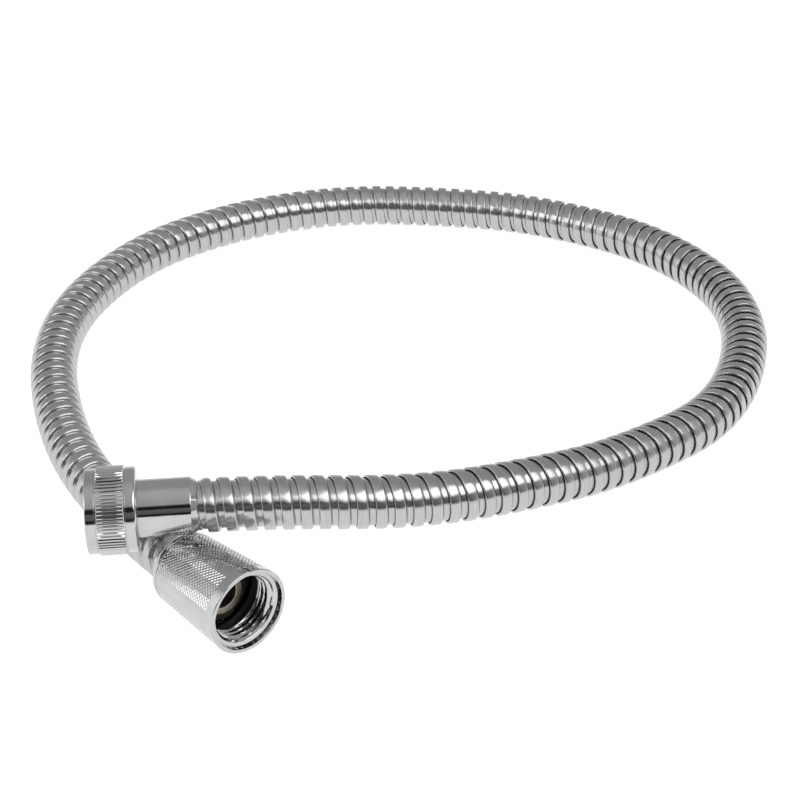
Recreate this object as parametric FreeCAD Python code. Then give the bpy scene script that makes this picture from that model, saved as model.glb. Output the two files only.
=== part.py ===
import FreeCAD, Part
import math
import os

from FreeCAD import Placement, Rotation, Vector

# A strip-wound metal spray hose lying in one loop, with a swivel nut on each end.
# Millimetres, +Z up, floor at Z = 0. The origin is on the floor, in the middle of the
# two couplings; +X runs along the supply coupling's axis, from its mouth to the hose.

# ---- hose section (radii, from the inside out) ----
TUBE_BORE_R = 4.75
TUBE_R = 6.2
BRAID_BORE_R = 6.25
BRAID_R = 6.7
HOSE_BORE_R = 6.85
HOSE_R = 8.0

# ---- hose route: from the supply tail's flange round the loop to the spray tail's flange ----
ROUTE = [
    Vector(-15.7, 11.1, 31.5),
    Vector(20.0, 11.1, 31.5),
    Vector(66.7, 12.9, 26.2),
    Vector(100.7, 22.9, 22.6),
    Vector(135.7, 38.9, 17.7),
    Vector(181.7, 71.9, 14),
    Vector(206.7, 140.9, 11),
    Vector(188.7, 198.9, 9),
    Vector(145.7, 233.9, 8),
    Vector(107.7, 245.9, 8),
    Vector(64.7, 252.9, 8),
    Vector(18.7, 241.9, 8),
    Vector(-22.3, 212.9, 8),
    Vector(-49.3, 156.9, 8),
    Vector(-41.3, 83.9, 8),
    Vector(-14.99, 28.08, 9.87),
    Vector(7.25, -2.66, 12.09),
]
BEND_SHARE = 0.45

# ---- G1/2 swivel nuts: distances are from the mouth, along the axis, towards the hose ----
THREAD_MINOR_R = 9.3155
THREAD_MAJOR_R = 10.4775
THREAD_LEAD_IN = 0.9
SUPPLY_RELIEF_R = 10.6
NUT_BORE_R = 8.5
RIM_ROUND = 0.35
CUT_MARGIN = 1.0

SUPPLY_NUT_LENGTH = 14.6
SUPPLY_THREAD_END = 7.7
SUPPLY_FLANGE_R = 12.35
SUPPLY_FRONT_FLANGE = 2.9
SUPPLY_REAR_FLANGE = 3.2
SUPPLY_GROOVE_R = 12.0
SUPPLY_GROOVE_WIDTH = 0.35
SUPPLY_REAR_ROUND = 0.9
KNURL_TIP_R = 12.85
KNURL_ROOT_R = 12.5
KNURL_TEETH = 72

SPRAY_NUT_LENGTH = 32.5
SPRAY_THREAD_END = 9.4
SPRAY_MOUTH_R = 13.1
SPRAY_FACE_R = 11.9
SPRAY_CHAMFER = 1.0
SPRAY_REAR_R = 11.2
SPRAY_RELIEF_R = 10.2
SPRAY_REAR_ROUND = 2.5

# ---- end fittings: only the tail's nose and its depth differ between the couplings ----
SUPPLY_FLANGE_BACK = 11.6
SPRAY_FLANGE_BACK = 17.0
SUPPLY_NOSE_LENGTH = 1.9
SPRAY_NOSE_LENGTH = 3.9
NOSE_R = 6.3
TAIL_BORE_R = 4.0
FLANGE_R = 9.15
FLANGE_THICKNESS = 1.8
STEM_LENGTH = 17.0
STEM_ROOT_R = 4.35
STEM_BARB_R = 4.7
BARB_PITCH = 3.4
BARB_LAND = 0.4
WASHER_BORE_R = 6.35
WASHER_R = 9.2
WASHER_THICKNESS = 1.9
RING_BORE_R = 8.5
SUPPLY_RING_R = 10.0
SPRAY_RING_R = 9.7
RING_THICKNESS = 0.8
END_GAP = 0.05
FERRULE_R = 8.4
FERRULE_BORE_R = 8.05
FERRULE_LENGTH = 19.8
LIP_BORE_R = 7.25
LIP_THICKNESS = 0.45
LIP_ROUND = 1.1
COLLAR_BORE_R = 6.75
COLLAR_R = 7.9
COLLAR_LENGTH = 8.0
HOSE_START = 8.6
TUBE_START = 0.1


# ---- helpers ----
def turned(outline):
    """Solid of revolution about local Z from a closed outline of (radius, distance) pairs."""
    corners = [Vector(radius, 0, distance) for radius, distance in outline]
    face = Part.Face(Part.makePolygon(corners + corners[:1]))
    return face.revolve(Vector(0, 0, 0), Vector(0, 0, 1), 360)


def ring(bore_r, outer_r, start, end):
    return turned([(bore_r, start), (outer_r, start), (outer_r, end), (bore_r, end)])


def rounded(solid, radius, distance, fillet):
    """Rounds the circular edge of that radius at that distance along local Z."""
    chosen = []
    for edge in solid.Edges:
        circle = edge.Curve
        if isinstance(circle, Part.Circle):
            if abs(circle.Radius - radius) < 0.02 and abs(circle.Center.z - distance) < 0.02:
                chosen.append(edge)
    return solid.makeFillet(fillet, chosen)


def bends(route):
    """The tangent arc at each inner point: its radius and its two ends."""
    arcs = []
    for before, corner, after in zip(route, route[1:], route[2:]):
        back = before - corner
        ahead = after - corner
        turn = math.pi - back.getAngle(ahead)
        reach = BEND_SHARE * min(back.Length, ahead.Length)
        enter = corner + back.normalize() * reach
        leave = corner + ahead.normalize() * reach
        radius = reach / math.tan(turn / 2)
        middle = corner + (back + ahead).normalize() * (radius / math.cos(turn / 2) - radius)
        arcs.append({"radius": radius, "enter": enter, "middle": middle, "leave": leave})
    return arcs


def path_along(route, trim):
    """Straight runs joined by tangent arcs, shortened by trim at both ends."""
    start = route[0] + (route[1] - route[0]).normalize() * trim
    finish = route[-1] + (route[-2] - route[-1]).normalize() * trim
    edges = []
    here = start
    for arc in bends(route):
        edges.append(Part.LineSegment(here, arc["enter"]).toShape())
        edges.append(Part.Arc(arc["enter"], arc["middle"], arc["leave"]).toShape())
        here = arc["leave"]
    edges.append(Part.LineSegment(here, finish).toShape())
    return Part.Wire(edges)


def swept(path, radius):
    start = path.Edges[0].Vertexes[0].Point
    direction = path.Edges[0].tangentAt(path.Edges[0].FirstParameter)
    section = Part.Wire(Part.Circle(start, direction, radius).toShape())
    return path.makePipeShell([section], True, False)


def hollow_along(route, bore_r, outer_r, trim):
    """A tube along the route, checked against its section times its length."""
    path = path_along(route, trim)
    tube = swept(path, outer_r).cut(swept(path, bore_r))
    expected = math.pi * (outer_r**2 - bore_r**2) * path.Length
    print(
        f"tube r {bore_r}-{outer_r}: length {path.Length:.1f},"
        f" volume {tube.Volume:.0f}, section x length {expected:.0f}"
    )
    return tube


def coupling_frame(end, towards, flange_back):
    """Puts local Z on the hose axis, with local 0 at the nut's mouth."""
    axis = (towards - end).normalize()
    mouth = end - axis * flange_back
    return Placement(mouth, Rotation(Vector(0, 0, 1), axis))


# ---- the two nuts ----
def threaded_mouth(rim, thread_end, relief_r, shoulder, length):
    """The hollow inside a nut: rim, lead-in, thread at its minor diameter, relief, rear bore."""
    return turned(
        [
            (0, -CUT_MARGIN),
            (rim[0][0], -CUT_MARGIN),
            *rim,
            (THREAD_MINOR_R, rim[-1][1] + THREAD_LEAD_IN),
            (THREAD_MINOR_R, thread_end),
            (relief_r, thread_end),
            (relief_r, shoulder),
            (NUT_BORE_R, shoulder),
            (NUT_BORE_R, length + CUT_MARGIN),
            (0, length + CUT_MARGIN),
        ]
    )


def knurl_band(start, end):
    """Straight axial teeth round the supply nut."""
    corners = []
    for i in range(2 * KNURL_TEETH):
        angle = math.pi * i / KNURL_TEETH
        radius = KNURL_TIP_R if i % 2 else KNURL_ROOT_R
        corners.append(Vector(radius * math.cos(angle), radius * math.sin(angle), start))
    face = Part.Face(Part.makePolygon(corners + corners[:1]))
    return face.extrude(Vector(0, 0, end - start))


def supply_nut():
    length = SUPPLY_NUT_LENGTH
    band_start = SUPPLY_FRONT_FLANGE + SUPPLY_GROOVE_WIDTH
    band_end = length - SUPPLY_REAR_FLANGE - SUPPLY_GROOVE_WIDTH
    front = Part.makeCylinder(SUPPLY_FLANGE_R, SUPPLY_FRONT_FLANGE)
    front = rounded(front, SUPPLY_FLANGE_R, 0, RIM_ROUND)
    core = Part.makeCylinder(SUPPLY_GROOVE_R, length - SUPPLY_REAR_FLANGE / 2)
    rear_start = Vector(0, 0, length - SUPPLY_REAR_FLANGE)
    rear = Part.makeCylinder(SUPPLY_FLANGE_R, SUPPLY_REAR_FLANGE, rear_start)
    rear = rounded(rear, SUPPLY_FLANGE_R, length, SUPPLY_REAR_ROUND)
    blank = front.fuse([core, knurl_band(band_start, band_end), rear])
    shoulder = SUPPLY_FLANGE_BACK + RING_THICKNESS + 2 * END_GAP
    rim = [(THREAD_MAJOR_R, 0)]
    hollow = threaded_mouth(rim, SUPPLY_THREAD_END, SUPPLY_RELIEF_R, shoulder, length)
    return blank.cut(hollow)


def spray_nut():
    length = SPRAY_NUT_LENGTH
    blank = Part.makeCone(SPRAY_MOUTH_R, SPRAY_REAR_R, length)
    blank = rounded(blank, SPRAY_REAR_R, length, SPRAY_REAR_ROUND)
    blank = rounded(blank, SPRAY_MOUTH_R, 0, RIM_ROUND)
    shoulder = SPRAY_FLANGE_BACK + RING_THICKNESS + 2 * END_GAP
    rim = [(SPRAY_FACE_R, 0), (THREAD_MAJOR_R, SPRAY_CHAMFER)]
    hollow = threaded_mouth(rim, SPRAY_THREAD_END, SPRAY_RELIEF_R, shoulder, length)
    return blank.cut(hollow)


# ---- end fittings ----
def tail(flange_back, nose_length):
    """Brass hose tail: nose, flange and barbed stem on one through bore."""
    flange_front = flange_back - FLANGE_THICKNESS
    outline = [
        (TAIL_BORE_R, flange_front - nose_length),
        (NOSE_R, flange_front - nose_length),
        (NOSE_R, flange_front),
        (FLANGE_R, flange_front),
        (FLANGE_R, flange_back),
        (STEM_BARB_R, flange_back),
    ]
    barbs = int(STEM_LENGTH / BARB_PITCH)
    for i in range(barbs):
        crest = flange_back + i * BARB_PITCH
        outline.append((STEM_BARB_R, crest + BARB_LAND))
        outline.append((STEM_ROOT_R, crest + BARB_LAND))
        outline.append((STEM_BARB_R, crest + BARB_PITCH))
    stem_end = flange_back + STEM_LENGTH + BARB_LAND
    outline.append((STEM_BARB_R, stem_end))
    outline.append((TAIL_BORE_R, stem_end))
    return turned(outline)


def washer(flange_back):
    back = flange_back - FLANGE_THICKNESS
    return ring(WASHER_BORE_R, WASHER_R, back - WASHER_THICKNESS, back)


def slip_ring(flange_back, outer_r):
    start = flange_back + END_GAP
    return ring(RING_BORE_R, outer_r, start, start + RING_THICKNESS)


def ferrule(flange_back):
    """Thin sleeve over the end of the hose, its rear lip rolled into the first groove."""
    start = flange_back + END_GAP / 2
    end = flange_back + FERRULE_LENGTH
    sleeve = turned(
        [
            (FERRULE_BORE_R, start),
            (FERRULE_R, start),
            (FERRULE_R, end),
            (LIP_BORE_R, end),
            (LIP_BORE_R, end - LIP_THICKNESS),
            (FERRULE_BORE_R, end - LIP_THICKNESS),
        ]
    )
    return rounded(sleeve, FERRULE_R, end, LIP_ROUND)


def collar(flange_back):
    """Crimp collar that holds the inner tube and its braid on the barbed stem."""
    start = flange_back + END_GAP
    return ring(COLLAR_BORE_R, COLLAR_R, start, start + COLLAR_LENGTH)


def lip_groove(flange_back):
    """The space that the ferrule's lip takes out of the plain outer hose."""
    end = flange_back + FERRULE_LENGTH
    return ring(LIP_BORE_R, HOSE_R + CUT_MARGIN, end - LIP_THICKNESS, end)


# ---- assembly ----
def place(shape, frame):
    placed = shape.copy()
    placed.Placement = frame.multiply(placed.Placement)
    return placed


def coupling(name, frame, flange_back, nose_length, nut, ring_r):
    pieces = {
        "nut": nut,
        "tail": tail(flange_back, nose_length),
        "washer": washer(flange_back),
        "slip_ring": slip_ring(flange_back, ring_r),
        "ferrule": ferrule(flange_back),
        "collar": collar(flange_back),
    }
    return {f"{name}_{piece}": place(shape, frame) for piece, shape in pieces.items()}


def build():
    supply = coupling_frame(ROUTE[0], ROUTE[1], SUPPLY_FLANGE_BACK)
    spray = coupling_frame(ROUTE[-1], ROUTE[-2], SPRAY_FLANGE_BACK)
    parts = coupling(
        "supply", supply, SUPPLY_FLANGE_BACK, SUPPLY_NOSE_LENGTH, supply_nut(), SUPPLY_RING_R
    )
    parts.update(
        coupling("spray", spray, SPRAY_FLANGE_BACK, SPRAY_NOSE_LENGTH, spray_nut(), SPRAY_RING_R)
    )
    outer_hose = hollow_along(ROUTE, HOSE_BORE_R, HOSE_R, HOSE_START)
    outer_hose = outer_hose.cut(place(lip_groove(SUPPLY_FLANGE_BACK), supply))
    parts["outer_hose"] = outer_hose.cut(place(lip_groove(SPRAY_FLANGE_BACK), spray))
    parts["hose_braid"] = hollow_along(ROUTE, BRAID_BORE_R, BRAID_R, TUBE_START)
    parts["inner_tube"] = hollow_along(ROUTE, TUBE_BORE_R, TUBE_R, TUBE_START)
    return parts


def main():
    os.makedirs("parts", exist_ok=True)
    print("bend radii:", [round(arc["radius"], 1) for arc in bends(ROUTE)])
    for name, shape in build().items():
        solid = shape.Solids[0] if len(shape.Solids) == 1 else shape
        if not solid.isValid() or solid.ShapeType != "Solid":
            raise RuntimeError(f"{name} is not one valid solid")
        print(f"{name}: volume {solid.Volume:.0f} mm3, box {solid.BoundBox}")
        solid.exportStep(f"parts/{name}.step")


main()
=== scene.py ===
import math

import bmesh
import bpy
import numpy as np
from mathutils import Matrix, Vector


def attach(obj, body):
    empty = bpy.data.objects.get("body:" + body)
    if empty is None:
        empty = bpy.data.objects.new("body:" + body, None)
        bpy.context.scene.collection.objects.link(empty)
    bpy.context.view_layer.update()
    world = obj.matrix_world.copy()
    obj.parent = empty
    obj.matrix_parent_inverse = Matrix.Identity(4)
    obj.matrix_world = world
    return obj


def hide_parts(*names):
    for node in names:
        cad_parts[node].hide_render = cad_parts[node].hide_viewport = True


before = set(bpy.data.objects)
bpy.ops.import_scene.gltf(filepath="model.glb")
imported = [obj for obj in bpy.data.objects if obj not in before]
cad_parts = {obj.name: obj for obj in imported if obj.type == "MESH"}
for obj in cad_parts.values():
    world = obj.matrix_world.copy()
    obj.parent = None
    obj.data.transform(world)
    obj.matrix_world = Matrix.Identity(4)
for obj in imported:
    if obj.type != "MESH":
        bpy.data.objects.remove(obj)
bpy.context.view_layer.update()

# A strip-wound metal spray hose lying in one loop, with a swivel nut on each end.
# Metres, in the frame of the CAD. Lengths of the small parts are written in millimetres
# and multiplied by MM where they become points.
MM = 0.001

# ---- hose section (radii, from the inside out) ----
TUBE_BORE_R = 4.75
TUBE_R = 6.2
BRAID_BORE_R = 6.25
BRAID_R = 6.7
HOSE_R = 8.0

# ---- hose route: the same points as in part.py, in metres ----
ROUTE = [
    (-0.0157, 0.0111, 0.0315),
    (0.02, 0.0111, 0.0315),
    (0.0667, 0.0129, 0.0262),
    (0.1007, 0.0229, 0.0226),
    (0.1357, 0.0389, 0.0177),
    (0.1817, 0.0719, 0.014),
    (0.2067, 0.1409, 0.011),
    (0.1887, 0.1989, 0.009),
    (0.1457, 0.2339, 0.008),
    (0.1077, 0.2459, 0.008),
    (0.0647, 0.2529, 0.008),
    (0.0187, 0.2419, 0.008),
    (-0.0223, 0.2129, 0.008),
    (-0.0493, 0.1569, 0.008),
    (-0.0413, 0.0839, 0.008),
    (-0.01499, 0.02808, 0.00987),
    (0.00725, -0.00266, 0.01209),
]

# ---- wound strip: one turn's section as (distance along the hose, radius) ----
STRIP_PITCH = 5.4
STRIP_STEPS_PER_TURN = 30
STRIP_MIDDLE = 1.7
STRIP_SECTION = [
    (0.03, 7.38),
    (0.00, 7.60),
    (0.07, 7.84),
    (0.26, 7.97),
    (0.42, 7.99),
    (1.65, 8.00),
    (2.88, 7.98),
    (3.06, 7.93),
    (3.34, 7.72),
    (3.54, 7.40),
    (3.62, 6.95),
    (3.76, 6.84),
    (3.93, 6.95),
    (4.10, 6.97),
    (6.15, 6.96),
    (6.15, 6.80),
    (3.40, 6.72),
    (3.30, 7.62),
    (0.34, 7.68),
    (0.34, 7.38),
]
NECK_FLOOR_R = 7.0
NECK_SHARE = 0.2
NECK_DELAY = 0.4
NECK_LENGTH = 2.0

# ---- G1/2 swivel nuts: distances are from the mouth, along the axis, towards the hose ----
THREAD_MINOR_R = 9.3155
THREAD_MAJOR_R = 10.4775
THREAD_PITCH = 1.814
THREAD_ROWS = 14
THREAD_FLAT = 0.18  # share of the pitch that is flat at each crest and root
THREAD_LEAD_IN = 1.8
THREAD_FADE = 1.2
NUT_BORE_R = 8.5
BORE_REAR_BEVEL = 0.3
SHOULDER_BEVEL = 0.1
RELIEF_BEVEL = 0.2
RELIEF_RUN_OUT = 0.3
RIM_ROUND = 0.35

SUPPLY_NUT_LENGTH = 14.6
SUPPLY_MOUTH_BEVEL = 0.3
SUPPLY_THREAD_END = 7.7
SUPPLY_RELIEF_R = 10.6
SUPPLY_FLANGE_R = 12.35
SUPPLY_FRONT_FLANGE = 2.9
SUPPLY_REAR_FLANGE = 3.2
SUPPLY_GROOVE_R = 12.0
SUPPLY_GROOVE_WIDTH = 0.35
SUPPLY_REAR_ROUND = 0.9
FLANGE_EDGE_ROUND = 0.12
KNURL_TIP_R = 12.85
KNURL_ROOT_R = 12.5
KNURL_TEETH = 72
TOOTH_SHAPE = (0.0, 0.88, 1.0, 0.88)  # heights round one tooth: 0 is its root, 1 its tip
KNURL_BEVEL = 0.25
KNURL_BEVEL_LENGTH = 0.2

SPRAY_NUT_LENGTH = 32.5
SPRAY_THREAD_END = 9.4
SPRAY_RELIEF_R = 10.2
SPRAY_MOUTH_R = 13.1
SPRAY_FACE_R = 11.9
SPRAY_FACE_ROUND = 0.1
SPRAY_MOUTH_DEPTH = 1.8
SPRAY_MOUTH_FLOOR_R = 11.45
SPRAY_MOUTH_FLOOR_RISE = 0.3
SPRAY_THREAD_STEP = 0.02
SPRAY_REAR_R = 11.2
SPRAY_REAR_ROUND = 2.5
SPRAY_BORE_BEVEL = 0.2
DIAMOND_COUNT = 58
DIAMOND_ROWS = 40
DIAMOND_START = 3.0
DIAMOND_END = 29.4
DIAMOND_DEPTH = 0.12
DIAMOND_TOP = 0.45  # size of a pyramid's flat top, as a share of its base
BORDER_WIDTH = 0.15
BORDER_FLOOR_WIDTH = 0.1
BORDER_ROUND = 0.1

# ---- end fittings ----
SUPPLY_FLANGE_BACK = 11.6
SPRAY_FLANGE_BACK = 17.0
SUPPLY_NOSE_LENGTH = 1.9
SPRAY_NOSE_LENGTH = 3.9
NOSE_R = 6.3
NOSE_ROUND = 0.4
TAIL_BORE_R = 4.0
TAIL_BORE_ROUND = 0.3
FLANGE_R = 9.15
FLANGE_THICKNESS = 1.8
FLANGE_ROUND = 0.15
STEM_LENGTH = 17.0
STEM_ROOT_R = 4.35
STEM_BARB_R = 4.7
BARB_PITCH = 3.4
BARB_LAND = 0.4
STEM_END_ROUND = 0.1
WASHER_BORE_R = 6.35
WASHER_R = 9.2
WASHER_THICKNESS = 1.9
WASHER_BORE_ROUND = 0.25
WASHER_ROUND = 0.3
RING_THICKNESS = 0.8
END_GAP = 0.05
FERRULE_R = 8.4
FERRULE_BORE_R = 8.05
FERRULE_LENGTH = 19.8
FERRULE_FRONT_ROUND = 0.1
LIP_BORE_R = 7.25
LIP_LENGTH = 1.7
LIP_START_ROUND = 0.5
LIP_END_R = 7.35
LIP_END_ROUND = 0.05
# Where the strip and the tube start on the centre line, whose ends are at the two flanges:
HOSE_START = 8.6
TUBE_START = 0.1

# ---- camera (angles in degrees) ----
CAMERA_PLACE = (0.01785, -0.4043, 0.3262)
CAMERA_PITCH = 57.82
CAMERA_TURN = -6.2
CAMERA_LENS = 78.75
CAMERA_SENSOR = 36.0
CAMERA_NEAR = 0.01

# ---- floor and softboxes (metres and watts) ----
FLOOR_HALF = 3.0
FLOOR_GLOW = 0.89
FLOOR_TONES = ((0.28, 0.28, 0.28), (0.31, 0.31, 0.31))
FLOOR_HAZE_SCALE = 3
LIGHTS_AIM = (0.10, 0.08, 0.0)
RIGHT_SOFTBOX = {"place": (0.67, -0.46, 0.93), "size": (1.10, 0.74), "power": 5.2}
LEFT_SOFTBOX = {"place": (-0.75, -0.52, 0.85), "size": (0.70, 0.60), "power": 2.6}

# ---- studio round the object: brightness by direction ----
# The two lists are (height, brightness). Heights and ranges are parts of a unit direction.
OVERHEAD = 0.60
BACK_WALL = 0.42
CAMERA_SIDE = [
    (0.00, 0.10),
    (0.05, 0.02),
    (0.14, 0.02),
    (0.20, 0.14),
    (0.42, 0.17),
    (0.47, 0.02),
    (0.62, 0.02),
    (0.69, 0.48),
    (1.00, OVERHEAD),
]
FAR_SIDE = [
    (0.00, 0.55),
    (0.25, BACK_WALL),
    (0.90, BACK_WALL),
    (1.00, OVERHEAD),
]
CAMERA_TO_FAR = (-0.12, 0.12)
SIDE_WALL = (0.62, 0.63, 0.65, 1)
SIDE_WALL_RANGE = (0.55, 0.95)
SIDE_WALL_SHARE = 0.75
LEFT_WALL = 1.2
LEFT_WALL_RANGE = (-0.9, -0.75)
COOL_TINT = 1.02
WHITE = (1, 1, 1, 1)

# ---- finishes ----
# Tones are a dark and a light colour, a roughness pair is its low and high value, scales are
# noise cells per metre, and a relief is a bump's strength and its distance in metres.
NOISE_RANGE = (0.3, 0.7)
CHROME_TONES = ((0.50, 0.505, 0.51), (0.58, 0.58, 0.585))
CHROME_ROUGHNESS = (0.04, 0.12)
CHROME_SMUDGE_SCALE = 140
CHROME_RIPPLE_SCALE = 600
CHROME_RELIEF = (0.05, 0.0002)
STEEL_TONES = ((0.44, 0.435, 0.425), (0.58, 0.575, 0.565))
STEEL_ROUGHNESS = (0.20, 0.27)
STEEL_ANISOTROPY = 0.7
STEEL_LINE_SCALE = (5200, 90, 1)
STEEL_WEAR_SCALE = 90
STEEL_RELIEF = (0.12, 0.00002)
BRASS_TONES = ((0.38, 0.335, 0.275), (0.50, 0.45, 0.375))
BRASS_ROUGHNESS = (0.34, 0.46)
BRASS_STAIN_SCALE = 300
BRASS_GRAIN_SCALE = 2500
BRASS_RELIEF = (0.1, 0.00003)
YARN_TONES = ((0.35, 0.35, 0.36), (0.75, 0.75, 0.73))
YARN_ROUGHNESS = 0.8
YARN_SCALE = 500
YARN_RELIEF = (0.6, 0.0002)
DULL_TONE_SCALE = 250
DULL_ROUGHNESS_HALF = 0.08
DULL_RELIEF_DISTANCE = 0.00005
WASHER_RUBBER = {
    "colours": ((0.010, 0.010, 0.011), (0.028, 0.027, 0.027)),
    "roughness": 0.6,
    "grain_scale": 4000,
    "grain_strength": 0.25,
}
TUBE_RUBBER = {
    "colours": ((0.020, 0.020, 0.021), (0.045, 0.044, 0.043)),
    "roughness": 0.5,
    "grain_scale": 2500,
    "grain_strength": 0.2,
}
RING_NYLON = {
    "colours": ((0.70, 0.68, 0.62), (0.80, 0.79, 0.74)),
    "roughness": 0.42,
    "grain_scale": 3000,
    "grain_strength": 0.1,
}

# ---- Blender's own names and numbers ----
UV_LAYER = "strip"
LINE_RESOLUTION = 64
MIX_FIRST_COLOUR = 6
MIX_SECOND_COLOUR = 7
MIX_COLOUR_RESULT = 2


def make_camera():
    data = bpy.data.cameras.new("camera")
    data.lens = CAMERA_LENS
    data.sensor_width = CAMERA_SENSOR
    data.clip_start = CAMERA_NEAR
    camera = bpy.data.objects.new("camera", data)
    camera.location = CAMERA_PLACE
    camera.rotation_euler = (math.radians(CAMERA_PITCH), 0, math.radians(CAMERA_TURN))
    bpy.context.scene.collection.objects.link(camera)
    bpy.context.scene.camera = camera


# ---- mesh building ----
class Solid:
    """Gathers rings of points and the faces between them."""

    def __init__(self):
        self.blocks = []
        self.count = 0
        self.faces = []

    def ring(self, points):
        """Adds points and returns their numbers."""
        first = self.count
        self.blocks.append(np.asarray(points, float))
        self.count += len(points)
        return np.arange(first, self.count)

    def bridge(self, one, other):
        """Joins two closed rings of the same number of points with quads."""
        quads = np.stack([one, np.roll(one, -1), np.roll(other, -1), other], axis=1)
        self.faces.extend(quads.tolist())

    def chain(self, rings):
        """Adds the rings, joins each to the next and returns their numbers."""
        numbers = [self.ring(points) for points in rings]
        for one, other in zip(numbers, numbers[1:]):
            self.bridge(one, other)
        return numbers

    def points(self):
        return np.concatenate(self.blocks)


def piece_from(name, points, faces, uvs=None, sharp=35):
    """A smooth-shaded mesh object whose edges above the given angle stay sharp."""
    mesh = bpy.data.meshes.new(name)
    mesh.from_pydata(points.tolist(), [], faces)
    work = bmesh.new()
    work.from_mesh(mesh)
    bmesh.ops.recalc_face_normals(work, faces=work.faces)
    work.to_mesh(mesh)
    work.free()
    mesh.shade_smooth()
    mesh.set_sharp_from_angle(angle=math.radians(sharp))
    if uvs is not None:
        layer = mesh.uv_layers.new(name=UV_LAYER)
        corner = np.zeros(len(mesh.loops), np.int64)
        mesh.loops.foreach_get("vertex_index", corner)
        layer.data.foreach_set("uv", uvs[corner].ravel())
    piece = bpy.data.objects.new(name, mesh)
    bpy.context.scene.collection.objects.link(piece)
    return piece


def rounded(outline, steps=4, support=0.06):
    """Closed outline of (distance, radius, round) corners, with each round made as an arc."""
    made = []
    count = len(outline)
    for i in range(count):
        here = np.array(outline[i][:2], float)
        before = np.array(outline[i - 1][:2], float)
        after = np.array(outline[(i + 1) % count][:2], float)
        radius = outline[i][2] if len(outline[i]) > 2 else 0
        if radius == 0:
            made.append(tuple(here))
            continue
        back = (before - here) / np.linalg.norm(before - here)
        ahead = (after - here) / np.linalg.norm(after - here)
        half = math.acos(float(np.clip(back @ ahead, -1, 1))) / 2
        reach = radius / math.tan(half)
        middle = here + (back + ahead) / np.linalg.norm(back + ahead) * radius / math.sin(half)
        start = here + back * reach - middle
        finish = here + ahead * reach - middle
        made.append(tuple(here + back * (reach + support)))
        turn = math.pi - 2 * half
        for k in range(steps + 1):
            share = k / steps
            weight = [math.sin((1 - share) * turn), math.sin(share * turn)]
            made.append(tuple(middle + (start * weight[0] + finish * weight[1]) / math.sin(turn)))
        made.append(tuple(here + ahead * (reach + support)))
    return made


class Axis:
    """The axis of a coupling: distance 0 is the nut's mouth, and distance grows to the hose."""

    def __init__(self, end, towards, flange_back):
        end = np.array(end)
        towards = np.array(towards)
        self.along = (towards - end) / np.linalg.norm(towards - end)
        self.mouth = end - self.along * flange_back * MM
        side = np.cross([0, 0, 1], self.along)
        self.side = side / np.linalg.norm(side)
        self.up = np.cross(self.along, self.side)

    def ring(self, distance, radius, segments, shift=0.0):
        angle = 2 * math.pi * (np.arange(segments) + shift) / segments
        radius = np.broadcast_to(radius, (segments,))
        out = np.outer(np.cos(angle) * radius, self.side)
        out += np.outer(np.sin(angle) * radius, self.up)
        return self.mouth + (self.along * distance + out) * MM


def turned(name, axis, outline, segments=96):
    """Closed solid of revolution from an outline of (distance, radius, round) corners."""
    solid = Solid()
    rings = [axis.ring(distance, radius, segments) for distance, radius in rounded(outline)]
    numbers = solid.chain(rings)
    solid.bridge(numbers[-1], numbers[0])
    return piece_from(name, solid.points(), solid.faces)


# ---- nuts ----
def thread_rings(axis, thread_start, thread_end, relief_r, segments):
    """The threaded bore, from the relief out to the mouth."""
    depth = THREAD_MAJOR_R - THREAD_MINOR_R
    rows = int(round((thread_end - thread_start) / THREAD_PITCH * THREAD_ROWS))
    angle = np.arange(segments) / segments
    rings = []
    for row in range(rows, -1, -1):
        distance = thread_start + (thread_end - thread_start) * row / rows
        phase = np.mod(distance / THREAD_PITCH - angle, 1)
        wave = np.clip((np.abs(2 * phase - 1) - THREAD_FLAT) / (1 - 2 * THREAD_FLAT), 0, 1)
        radius = THREAD_MINOR_R + depth * wave
        fade = np.clip((distance - (thread_end - THREAD_FADE)) / THREAD_FADE, 0, 1)
        radius = radius * (1 - fade) + relief_r * fade
        lead_in = THREAD_MAJOR_R - depth * (distance - thread_start) / THREAD_LEAD_IN
        rings.append(axis.ring(distance, np.maximum(radius, lead_in), segments))
    return rings


def bore_rings(axis, length, shoulder, thread, relief_r, segments):
    """The hollow inside a nut, from its rear face to its mouth. The thread is (start, end)."""
    corners = [
        (length - BORE_REAR_BEVEL, NUT_BORE_R),
        (shoulder + SHOULDER_BEVEL, NUT_BORE_R),
        (shoulder, NUT_BORE_R + SHOULDER_BEVEL),
        (shoulder, relief_r - RELIEF_BEVEL),
        (shoulder - RELIEF_BEVEL, relief_r),
        (thread[1] + RELIEF_RUN_OUT, relief_r),
    ]
    rings = [axis.ring(distance, radius, segments) for distance, radius in corners]
    return rings + thread_rings(axis, *thread, relief_r, segments)


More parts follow.
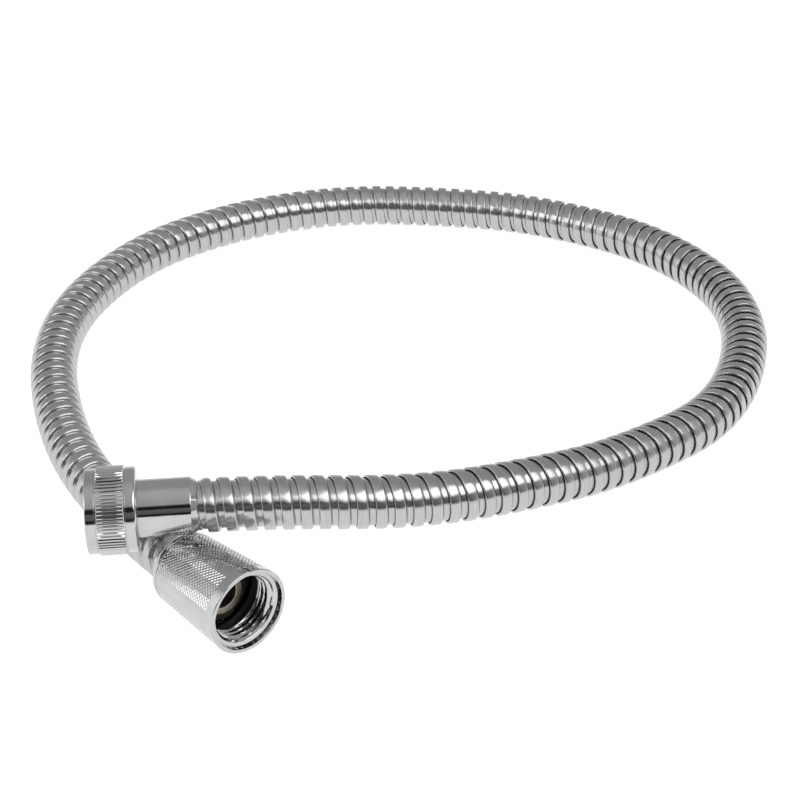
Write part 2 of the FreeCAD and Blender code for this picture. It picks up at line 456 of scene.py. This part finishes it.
def supply_nut(axis):
    """The short nut: two plain flanges with a straight knurl between them."""
    segments = KNURL_TEETH * len(TOOTH_SHAPE)
    tooth = np.tile(TOOTH_SHAPE, KNURL_TEETH)
    teeth = KNURL_ROOT_R + (KNURL_TIP_R - KNURL_ROOT_R) * tooth
    bevel = KNURL_ROOT_R + (KNURL_TIP_R - KNURL_BEVEL - KNURL_ROOT_R) * tooth
    length = SUPPLY_NUT_LENGTH
    band_start = SUPPLY_FRONT_FLANGE + SUPPLY_GROOVE_WIDTH
    band_end = length - SUPPLY_REAR_FLANGE - SUPPLY_GROOVE_WIDTH
    front = rounded(
        [
            (0, THREAD_MAJOR_R + SUPPLY_MOUTH_BEVEL),
            (0, SUPPLY_FLANGE_R, RIM_ROUND),
            (SUPPLY_FRONT_FLANGE, SUPPLY_FLANGE_R, FLANGE_EDGE_ROUND),
            (SUPPLY_FRONT_FLANGE, SUPPLY_GROOVE_R),
            (band_start, SUPPLY_GROOVE_R),
        ]
    )
    rear = rounded(
        [
            (band_end, SUPPLY_GROOVE_R),
            (length - SUPPLY_REAR_FLANGE, SUPPLY_GROOVE_R),
            (length - SUPPLY_REAR_FLANGE, SUPPLY_FLANGE_R, FLANGE_EDGE_ROUND),
            (length, SUPPLY_FLANGE_R, SUPPLY_REAR_ROUND),
            (length, NUT_BORE_R + BORE_REAR_BEVEL),
        ]
    )
    rings = [axis.ring(distance, radius, segments) for distance, radius in front]
    rings.append(axis.ring(band_start, bevel, segments))
    rings.append(axis.ring(band_start + KNURL_BEVEL_LENGTH, teeth, segments))
    rings.append(axis.ring(band_end - KNURL_BEVEL_LENGTH, teeth, segments))
    rings.append(axis.ring(band_end, bevel, segments))
    rings += [axis.ring(distance, radius, segments) for distance, radius in rear]
    shoulder = SUPPLY_FLANGE_BACK + RING_THICKNESS + 2 * END_GAP
    rings += bore_rings(axis, length, shoulder, (0, SUPPLY_THREAD_END), SUPPLY_RELIEF_R, segments)
    solid = Solid()
    numbers = solid.chain(rings)
    solid.bridge(numbers[-1], numbers[0])
    return piece_from("supply_nut_body", solid.points(), solid.faces, sharp=28)


def diamonds(solid, axis, cone_radius):
    """A knurl of raised truncated pyramids between crossing grooves. Returns its end rings.

    Each row of groove crossings is turned by half a step against the row before it."""
    height = (DIAMOND_END - DIAMOND_START) / DIAMOND_ROWS
    rows = []
    for k in range(DIAMOND_ROWS + 1):
        distance = DIAMOND_START + height * k
        radius = cone_radius(distance) - DIAMOND_DEPTH
        rows.append(solid.ring(axis.ring(distance, radius, DIAMOND_COUNT, 0.5 * (k % 2))))
    for k in range(DIAMOND_ROWS + 1):
        left = rows[k]
        right = np.roll(left, -1)
        middle_shift = 0 if k % 2 == 0 else -1
        if k == 0:
            solid.faces.extend(np.stack([left, right, rows[1]], axis=1).tolist())
            continue
        if k == DIAMOND_ROWS:
            solid.faces.extend(np.stack([left, rows[k - 1], right], axis=1).tolist())
            continue
        above = np.roll(rows[k - 1], middle_shift)
        below = np.roll(rows[k + 1], middle_shift)
        distance = DIAMOND_START + height * k
        shift = 0.5 * (k % 2) + 0.5
        along = height * DIAMOND_TOP
        around = 0.5 * DIAMOND_TOP
        inner = []
        for ahead, turn in ((0, -around), (-along, 0), (0, around), (along, 0)):
            radius = cone_radius(distance + ahead)
            points = axis.ring(distance + ahead, radius, DIAMOND_COUNT, shift + turn)
            inner.append(solid.ring(points))
        outer = [left, above, right, below]
        solid.faces.extend(np.stack(inner, axis=1).tolist())
        for i in range(4):
            j = (i + 1) % 4
            side = np.stack([outer[i], outer[j], inner[j], inner[i]], axis=1)
            solid.faces.extend(side.tolist())
    return rows[0], rows[-1]


def spray_nut(axis):
    """The long tapered nut: a plain rim, a diamond knurl and a rounded rear."""
    length = SPRAY_NUT_LENGTH

    def cone_radius(distance):
        return SPRAY_MOUTH_R + (SPRAY_REAR_R - SPRAY_MOUTH_R) * distance / length

    solid = Solid()
    front = rounded(
        [
            (SPRAY_MOUTH_DEPTH - SPRAY_THREAD_STEP, THREAD_MAJOR_R + SPRAY_THREAD_STEP),
            (SPRAY_MOUTH_DEPTH - SPRAY_MOUTH_FLOOR_RISE, SPRAY_MOUTH_FLOOR_R),
            (0, SPRAY_FACE_R, SPRAY_FACE_ROUND),
            (0, SPRAY_MOUTH_R, RIM_ROUND),
            (DIAMOND_START - BORDER_WIDTH, cone_radius(DIAMOND_START), BORDER_ROUND),
            (DIAMOND_START - BORDER_FLOOR_WIDTH, cone_radius(DIAMOND_START) - DIAMOND_DEPTH),
        ]
    )
    rear = rounded(
        [
            (DIAMOND_END + BORDER_FLOOR_WIDTH, cone_radius(DIAMOND_END) - DIAMOND_DEPTH),
            (DIAMOND_END + BORDER_WIDTH, cone_radius(DIAMOND_END)),
            (length, SPRAY_REAR_R, SPRAY_REAR_ROUND),
            (length, NUT_BORE_R + SPRAY_BORE_BEVEL),
        ],
        support=0.02,
    )
    count = DIAMOND_COUNT
    first = solid.chain([axis.ring(distance, radius, count) for distance, radius in front])
    knurl_front, knurl_rear = diamonds(solid, axis, cone_radius)
    rear_rings = [axis.ring(distance, radius, count) for distance, radius in rear]
    shoulder = SPRAY_FLANGE_BACK + RING_THICKNESS + 2 * END_GAP
    thread = (SPRAY_MOUTH_DEPTH, SPRAY_THREAD_END)
    rear_rings += bore_rings(axis, length, shoulder, thread, SPRAY_RELIEF_R, count)
    last = solid.chain(rear_rings)
    solid.bridge(first[-1], knurl_front)
    solid.bridge(knurl_rear, last[0])
    solid.bridge(last[-1], first[0])
    return piece_from("spray_nut_body", solid.points(), solid.faces, sharp=24)


# ---- end fittings ----
def tail(name, axis, flange_back, nose_length):
    """The turned fitting: a nose, a flange that the nut pulls on, and a barbed stem."""
    front = flange_back - FLANGE_THICKNESS
    outline = [
        (front - nose_length, TAIL_BORE_R, TAIL_BORE_ROUND),
        (front - nose_length, NOSE_R, NOSE_ROUND),
        (front, NOSE_R),
        (front, FLANGE_R, FLANGE_ROUND),
        (flange_back, FLANGE_R, FLANGE_ROUND),
        (flange_back, STEM_BARB_R),
    ]
    barbs = int(STEM_LENGTH / BARB_PITCH)
    for i in range(barbs):
        crest = flange_back + i * BARB_PITCH
        outline.append((crest + BARB_LAND, STEM_BARB_R))
        outline.append((crest + BARB_LAND, STEM_ROOT_R))
        outline.append((crest + BARB_PITCH, STEM_BARB_R))
    stem_end = flange_back + STEM_LENGTH + BARB_LAND
    outline.append((stem_end, STEM_BARB_R, STEM_END_ROUND))
    outline.append((stem_end, TAIL_BORE_R, STEM_END_ROUND))
    return turned(name, axis, outline)


def washer(name, axis, flange_back):
    back = flange_back - FLANGE_THICKNESS
    front = back - WASHER_THICKNESS
    return turned(
        name,
        axis,
        [
            (front, WASHER_BORE_R, WASHER_BORE_ROUND),
            (front, WASHER_R, WASHER_ROUND),
            (back, WASHER_R, WASHER_ROUND),
            (back, WASHER_BORE_R, WASHER_BORE_ROUND),
        ],
    )


def ferrule(name, axis, flange_back):
    """The smooth sleeve over the hose's end. Its rear lip is a cone that closes on the strip."""
    start = flange_back + END_GAP / 2
    end = flange_back + FERRULE_LENGTH
    return turned(
        name,
        axis,
        [
            (start, FERRULE_BORE_R),
            (start, FERRULE_R, FERRULE_FRONT_ROUND),
            (end - LIP_LENGTH, FERRULE_R, LIP_START_ROUND),
            (end, LIP_END_R, LIP_END_ROUND),
            (end, LIP_BORE_R),
            (end - LIP_LENGTH, FERRULE_BORE_R),
        ],
        segments=128,
    )


# ---- hose ----
def spline_points():
    """The hose's centre line: a smooth NURBS spline that the route's points control."""
    curve = bpy.data.curves.new("hose_line", "CURVE")
    curve.dimensions = "3D"
    curve.resolution_u = LINE_RESOLUTION
    spline = curve.splines.new("NURBS")
    spline.points.add(len(ROUTE) - 1)
    for point, place in zip(spline.points, ROUTE):
        point.co = (*place, 1.0)
    spline.order_u = 3
    spline.use_endpoint_u = True
    line = bpy.data.objects.new("hose_line", curve)
    bpy.context.scene.collection.objects.link(line)
    mesh = bpy.data.meshes.new_from_object(line)
    points = np.array([vertex.co for vertex in mesh.vertices], float)
    bpy.data.objects.remove(line)
    bpy.data.curves.remove(curve)
    bpy.data.meshes.remove(mesh)
    return points


class Line:
    """The centre line with a frame that doesn't twist: where, along, side and up."""

    def __init__(self, points):
        steps = np.linalg.norm(np.diff(points, axis=0), axis=1)
        self.at = np.concatenate([[0], np.cumsum(steps)]) / MM
        self.length = self.at[-1]
        self.points = points
        along = np.gradient(points, axis=0)
        self.along = along / np.linalg.norm(along, axis=1)[:, None]
        side = np.cross([0, 0, 1], self.along[0])
        sides = []
        for direction in self.along:
            side = side - direction * (side @ direction)
            side = side / np.linalg.norm(side)
            sides.append(side)
        self.side = np.array(sides)

    def read(self, values, distance):
        """The line's values at given distances."""
        return np.stack([np.interp(distance, self.at, values[:, i]) for i in range(3)], axis=1)

    def frames(self, distance):
        """The place and the three directions at given distances."""
        where = self.read(self.points, distance)
        along = self.read(self.along, distance)
        along = along / np.linalg.norm(along, axis=1)[:, None]
        side = self.read(self.side, distance)
        side = side - along * np.sum(side * along, axis=1)[:, None]
        side = side / np.linalg.norm(side, axis=1)[:, None]
        return where, along, side, np.cross(along, side)


def smooth_step(share):
    share = np.clip(share, 0, 1)
    return share * share * (3 - 2 * share)


def wound_strip(line):
    """The outer hose as it is made: one metal strip wound in a helix, its crown over the next
    turn's floor. The section is set rigidly on the line, so the grooves open outside a bend.
    At the supply end the turns inside the ferrule keep NECK_SHARE of their height over
    NECK_FLOOR_R, and the next turns rise to their full height."""
    section = np.array(STRIP_SECTION)
    first = HOSE_START + STRIP_MIDDLE
    last = line.length - HOSE_START - STRIP_PITCH
    turns = (last - first) / STRIP_PITCH
    steps = int(round(turns * STRIP_STEPS_PER_TURN))
    phase = np.linspace(0, 2 * math.pi * turns, steps + 1)
    centre = first + STRIP_PITCH * phase / (2 * math.pi)
    where, along, side, up = line.frames(centre)
    out = side * np.cos(phase)[:, None] + up * np.sin(phase)[:, None]
    offset = section[:, 0] - STRIP_MIDDLE
    reach = centre[:, None] + offset[None, :]
    neck = FERRULE_LENGTH + NECK_DELAY
    grown = NECK_SHARE + (1 - NECK_SHARE) * smooth_step((reach - neck) / NECK_LENGTH)
    radius = np.broadcast_to(section[:, 1], reach.shape)
    raised = np.maximum(radius - NECK_FLOOR_R, 0)
    radius = radius - raised * (1 - grown)
    points = (
        where[:, None, :]
        + along[:, None, :] * offset[None, :, None] * MM
        + out[:, None, :] * radius[:, :, None] * MM
    )
    solid = Solid()
    numbers = solid.chain(points)
    solid.faces.append(numbers[0].tolist())
    solid.faces.append(numbers[-1].tolist()[::-1])
    across = np.concatenate([[0], np.cumsum(np.linalg.norm(np.diff(section, axis=0), axis=1))])
    run = phase * HOSE_R
    uvs = np.stack(np.broadcast_arrays(across[None, :], run[:, None]), axis=2).reshape(-1, 2) * MM
    return piece_from("hose_strip", solid.points(), solid.faces, uvs=uvs, sharp=50)


def tube_on(name, line, bore_r, outer_r, start, segments=40, step=3.0):
    """A closed tube along the line."""
    count = int((line.length - 2 * start) / step) + 1
    distance = np.linspace(start, line.length - start, count)
    where, _, side, up = line.frames(distance)
    angle = 2 * math.pi * np.arange(segments) / segments
    out = side[:, None, :] * np.cos(angle)[None, :, None]
    out = out + up[:, None, :] * np.sin(angle)[None, :, None]
    outside = where[:, None, :] + out * outer_r * MM
    inside = where[:, None, :] + out * bore_r * MM
    solid = Solid()
    numbers = solid.chain(np.concatenate([outside, inside[::-1]]))
    solid.bridge(numbers[-1], numbers[0])
    turn = np.tile(angle * outer_r, 2 * count)
    run = np.repeat(np.concatenate([distance, distance[::-1]]), segments)
    uvs = np.stack([turn, run], axis=1) * MM
    return piece_from(name, solid.points(), solid.faces, uvs=uvs)


# ---- materials ----
def new_material(name):
    """A new material, its node tree and its shader."""
    made = bpy.data.materials.new(name)
    made.use_nodes = True
    return made, made.node_tree, made.node_tree.nodes["Principled BSDF"]


def node(tree, kind, **settings):
    """A new node. Each setting is an input's value if it names an input, or else a property."""
    made = tree.nodes.new(kind)
    for key, value in settings.items():
        if key in made.inputs:
            made.inputs[key].default_value = value
        else:
            setattr(made, key, value)
    return made


def coordinates(tree, source, scale):
    """Object or UV coordinates times a scale."""
    if source == "UV":
        place = node(tree, "ShaderNodeUVMap", uv_map=UV_LAYER).outputs["UV"]
    else:
        place = node(tree, "ShaderNodeTexCoord").outputs["Object"]
    mapping = node(tree, "ShaderNodeMapping")
    mapping.inputs["Scale"].default_value = scale
    tree.links.new(place, mapping.inputs["Vector"])
    return mapping.outputs["Vector"]


def noise(tree, place, detail=3.0, rough=0.55):
    made = node(tree, "ShaderNodeTexNoise", Scale=1.0, Detail=detail, Roughness=rough)
    tree.links.new(place, made.inputs["Vector"])
    return made.outputs["Fac"]


def object_noise(tree, scale, detail=3.0):
    return noise(tree, coordinates(tree, "Object", (scale,) * 3), detail=detail)


def spread(tree, value, low, high, start=NOISE_RANGE[0], finish=NOISE_RANGE[1]):
    """Maps the range start to finish onto low to high."""
    made = node(tree, "ShaderNodeMapRange")
    made.inputs["From Min"].default_value = start
    made.inputs["From Max"].default_value = finish
    made.inputs["To Min"].default_value = low
    made.inputs["To Max"].default_value = high
    tree.links.new(value, made.inputs["Value"])
    return made.outputs["Result"]


def tones(tree, value, dark, light):
    """Goes from a dark to a light colour over a noise value's range."""
    made = node(tree, "ShaderNodeValToRGB")
    made.color_ramp.elements[0].position = NOISE_RANGE[0]
    made.color_ramp.elements[0].color = (*dark, 1)
    made.color_ramp.elements[1].position = NOISE_RANGE[1]
    made.color_ramp.elements[1].color = (*light, 1)
    tree.links.new(value, made.inputs["Fac"])
    return made.outputs["Color"]


def bump(tree, shader, value, strength, distance):
    made = node(tree, "ShaderNodeBump", Strength=strength, Distance=distance)
    tree.links.new(value, made.inputs["Height"])
    tree.links.new(made.outputs["Normal"], shader.inputs["Normal"])


def chrome():
    """Bright chrome plate: faint smudges, and a slight ripple under the plate."""
    made, tree, shader = new_material("chrome")
    shader.inputs["Metallic"].default_value = 1.0
    smudge = object_noise(tree, CHROME_SMUDGE_SCALE)
    ripple = object_noise(tree, CHROME_RIPPLE_SCALE, detail=2)
    tree.links.new(tones(tree, smudge, *CHROME_TONES), shader.inputs["Base Color"])
    tree.links.new(spread(tree, smudge, *CHROME_ROUGHNESS), shader.inputs["Roughness"])
    bump(tree, shader, ripple, *CHROME_RELIEF)
    return made


def hose_steel():
    """Rolled stainless strip: fine lines along the strip, so its gloss spreads across them."""
    made, tree, shader = new_material("hose_steel")
    shader.inputs["Metallic"].default_value = 1.0
    shader.inputs["Anisotropic"].default_value = STEEL_ANISOTROPY
    lines = noise(tree, coordinates(tree, "UV", STEEL_LINE_SCALE), detail=4, rough=0.6)
    wear = object_noise(tree, STEEL_WEAR_SCALE)
    tree.links.new(tones(tree, lines, *STEEL_TONES), shader.inputs["Base Color"])
    tree.links.new(spread(tree, wear, *STEEL_ROUGHNESS), shader.inputs["Roughness"])
    tangent = node(tree, "ShaderNodeTangent", direction_type="UV_MAP", uv_map=UV_LAYER)
    tree.links.new(tangent.outputs["Tangent"], shader.inputs["Tangent"])
    bump(tree, shader, lines, *STEEL_RELIEF)
    return made


def nickel_brass():
    """Turned brass, nickel plated: dull, faintly stained and warm."""
    made, tree, shader = new_material("nickel_brass")
    shader.inputs["Metallic"].default_value = 1.0
    stain = object_noise(tree, BRASS_STAIN_SCALE)
    grain = object_noise(tree, BRASS_GRAIN_SCALE)
    tree.links.new(tones(tree, stain, *BRASS_TONES), shader.inputs["Base Color"])
    tree.links.new(spread(tree, stain, *BRASS_ROUGHNESS), shader.inputs["Roughness"])
    bump(tree, shader, grain, *BRASS_RELIEF)
    return made


def dull(name, colours, roughness, grain_scale, grain_strength):
    """Rubber or plastic: two near tones, uneven gloss and a fine grain."""
    made, tree, shader = new_material(name)
    tone = object_noise(tree, DULL_TONE_SCALE)
    grain = object_noise(tree, grain_scale)
    tree.links.new(tones(tree, tone, *colours), shader.inputs["Base Color"])
    low = roughness - DULL_ROUGHNESS_HALF
    high = roughness + DULL_ROUGHNESS_HALF
    tree.links.new(spread(tree, tone, low, high), shader.inputs["Roughness"])
    bump(tree, shader, grain, grain_strength, DULL_RELIEF_DISTANCE)
    return made


def braid_yarn():
    """Crossing yarns, one way and the other round the tube."""
    made, tree, shader = new_material("braid_yarn")
    shader.inputs["Roughness"].default_value = YARN_ROUGHNESS
    place = coordinates(tree, "UV", (YARN_SCALE, YARN_SCALE, 1))
    yarns = []
    for turn in (45, -45):
        tilt = node(tree, "ShaderNodeMapping")
        tilt.inputs["Rotation"].default_value = (0, 0, math.radians(turn))
        tree.links.new(place, tilt.inputs["Vector"])
        wave = node(tree, "ShaderNodeTexWave", Scale=1.0, Distortion=0.0)
        tree.links.new(tilt.outputs["Vector"], wave.inputs["Vector"])
        yarns.append(wave.outputs["Fac"])
    top = node(tree, "ShaderNodeMath", operation="MAXIMUM")
    tree.links.new(yarns[0], top.inputs[0])
    tree.links.new(yarns[1], top.inputs[1])
    tree.links.new(tones(tree, top.outputs[0], *YARN_TONES), shader.inputs["Base Color"])
    bump(tree, shader, top.outputs[0], *YARN_RELIEF)
    return made


def finish_in(thing, material):
    thing.data.materials.clear()
    thing.data.materials.append(material)


# ---- stage ----
def make_floor():
    """A pale light table."""
    mesh = bpy.data.meshes.new("floor")
    corners = [(-FLOOR_HALF, -FLOOR_HALF), (FLOOR_HALF, -FLOOR_HALF)]
    corners += [(FLOOR_HALF, FLOOR_HALF), (-FLOOR_HALF, FLOOR_HALF)]
    mesh.from_pydata([(x, y, 0.0) for x, y in corners], [], [(0, 1, 2, 3)])
    floor = bpy.data.objects.new("floor", mesh)
    bpy.context.scene.collection.objects.link(floor)
    made, tree, shader = new_material("light_table")
    haze = object_noise(tree, FLOOR_HAZE_SCALE)
    tree.links.new(tones(tree, haze, *FLOOR_TONES), shader.inputs["Base Color"])
    shader.inputs["Roughness"].default_value = 0.9
    shader.inputs["Specular IOR Level"].default_value = 0.0
    shader.inputs["Emission Color"].default_value = WHITE
    shader.inputs["Emission Strength"].default_value = FLOOR_GLOW
    finish_in(floor, made)


def ramp(tree, value, stops):
    """Greys, a little cool, that follow the value through the stops."""
    made = node(tree, "ShaderNodeValToRGB")
    elements = made.color_ramp.elements
    while len(elements) < len(stops):
        elements.new(0.5)
    for element, (position, tone) in zip(elements, stops):
        element.position = position
        element.color = (tone, tone, tone * COOL_TINT, 1)
    tree.links.new(value, made.inputs["Fac"])
    return made.outputs["Color"]


def blend(tree, share, one, other):
    """Mixes two colours. Each is a socket or a plain colour."""
    made = node(tree, "ShaderNodeMix", data_type="RGBA")
    tree.links.new(share, made.inputs["Factor"])
    for value, number in ((one, MIX_FIRST_COLOUR), (other, MIX_SECOND_COLOUR)):
        socket = made.inputs[number]
        if isinstance(value, tuple):
            socket.default_value = value
        else:
            tree.links.new(value, socket)
    return made.outputs[MIX_COLOUR_RESULT]


def make_world():
    """A studio by direction: pale walls behind and beside, dark flats behind the camera."""
    world = bpy.data.worlds.new("studio")
    bpy.context.scene.world = world
    world.use_nodes = True
    tree = world.node_tree
    background = tree.nodes["Background"]
    direction = node(tree, "ShaderNodeTexCoord").outputs["Generated"]
    parts = node(tree, "ShaderNodeSeparateXYZ")
    tree.links.new(direction, parts.inputs["Vector"])
    camera_side = ramp(tree, parts.outputs["Z"], CAMERA_SIDE)
    far_side = ramp(tree, parts.outputs["Z"], FAR_SIDE)
    behind = spread(tree, parts.outputs["Y"], 0.0, 1.0, *CAMERA_TO_FAR)
    room = blend(tree, behind, camera_side, far_side)
    width = node(tree, "ShaderNodeMath", operation="ABSOLUTE")
    tree.links.new(parts.outputs["X"], width.inputs[0])
    beside = spread(tree, width.outputs[0], 0.0, SIDE_WALL_SHARE, *SIDE_WALL_RANGE)
    room = blend(tree, beside, room, SIDE_WALL)
    left = spread(tree, parts.outputs["X"], 1.0, 0.0, *LEFT_WALL_RANGE)
    room = blend(tree, left, room, (LEFT_WALL, LEFT_WALL, LEFT_WALL, 1))
    seen = node(tree, "ShaderNodeLightPath").outputs["Is Camera Ray"]
    tree.links.new(blend(tree, seen, room, WHITE), background.inputs["Color"])


def make_softbox(name, place, size, power):
    """A rectangular light turned to LIGHTS_AIM."""
    data = bpy.data.lights.new(name, "AREA")
    data.shape = "RECTANGLE"
    data.size = size[0]
    data.size_y = size[1]
    data.energy = power
    softbox = bpy.data.objects.new(name, data)
    softbox.location = place
    aim = Vector(LIGHTS_AIM) - Vector(place)
    softbox.rotation_euler = aim.to_track_quat("-Z", "Y").to_euler()
    bpy.context.scene.collection.objects.link(softbox)


# ---- assembly ----
make_camera()
line = Line(spline_points())
supply = Axis(ROUTE[0], ROUTE[1], SUPPLY_FLANGE_BACK)
spray = Axis(ROUTE[-1], ROUTE[-2], SPRAY_FLANGE_BACK)

finishes = {
    "chrome": chrome(),
    "hose_steel": hose_steel(),
    "nickel_brass": nickel_brass(),
    "washer_rubber": dull("washer_rubber", **WASHER_RUBBER),
    "tube_rubber": dull("tube_rubber", **TUBE_RUBBER),
    "braid_yarn": braid_yarn(),
    "ring_nylon": dull("ring_nylon", **RING_NYLON),
}


def add(piece, body, slot, *replaced):
    """Finishes a piece, sets it on its body and hides the CAD nodes that it stands for."""
    finish_in(piece, finishes[slot])
    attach(piece, body)
    if replaced:
        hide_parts(*replaced)
    return piece


strip = add(wound_strip(line), "hose", "hose_steel", "outer_hose")
tube = tube_on("tube_skin", line, TUBE_BORE_R, TUBE_R, TUBE_START)
add(tube, "hose", "tube_rubber", "inner_tube")
braid = tube_on("braid_skin", line, BRAID_BORE_R, BRAID_R, TUBE_START)
add(braid, "hose", "braid_yarn", "hose_braid")

add(supply_nut(supply), "supply_nut", "chrome", "supply_nut")
add(spray_nut(spray), "spray_nut", "chrome", "spray_nut")
for name, axis, flange_back, nose_length in (
    ("supply", supply, SUPPLY_FLANGE_BACK, SUPPLY_NOSE_LENGTH),
    ("spray", spray, SPRAY_FLANGE_BACK, SPRAY_NOSE_LENGTH),
):
    fitting = tail(name + "_tail_body", axis, flange_back, nose_length)
    add(fitting, "hose", "nickel_brass", name + "_tail")
    seal = washer(name + "_washer_ring", axis, flange_back)
    add(seal, "hose", "washer_rubber", name + "_washer")
    sleeve = ferrule(name + "_ferrule_sleeve", axis, flange_back)
    add(sleeve, "hose", "chrome", name + "_ferrule")
    finish_in(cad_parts[name + "_slip_ring"], finishes["ring_nylon"])
    finish_in(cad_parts[name + "_collar"], finishes["nickel_brass"])

make_floor()
make_world()
make_softbox("right_softbox", **RIGHT_SOFTBOX)
make_softbox("left_softbox", **LEFT_SOFTBOX)
bpy.context.scene.view_settings.view_transform = "Standard"
